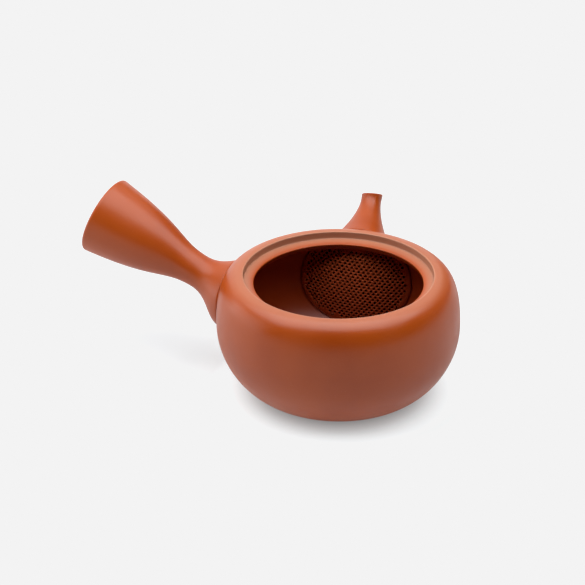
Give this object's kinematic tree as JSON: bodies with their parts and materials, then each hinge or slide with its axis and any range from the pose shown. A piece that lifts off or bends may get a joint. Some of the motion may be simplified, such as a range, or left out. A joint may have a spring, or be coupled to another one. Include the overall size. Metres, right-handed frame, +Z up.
{
  "type": "side-handled teapot",
  "caption": "Low round teapot with a hollow trumpet handle at the side, a curved cone spout, a pierced strainer dome inside and a recessed seat for a lid.",
  "frame": {"origin": "middle of the flat base, on the table", "axes": "+Z up along the pot's turning axis and out of its mouth, +Y out along the spout, -X on the handle's side"},
  "size_m": [0.1791, 0.1401, 0.0774],
  "materials": {
    "burnished_clay": "unglazed, burnished to a satin sheen",
    "plain_clay": "unglazed, matt",
    "clay_slip": "unglazed, matt, smeared"
  },
  "bodies": {
    "root": {"pot_body": "burnished_clay", "handle": "burnished_clay", "spout": "burnished_clay", "strainer_dome": "plain_clay", "handle_slip_joint": "clay_slip", "spout_slip_joint": "clay_slip", "strainer_slip_joint": "clay_slip"}
  },
  "joints": []
}
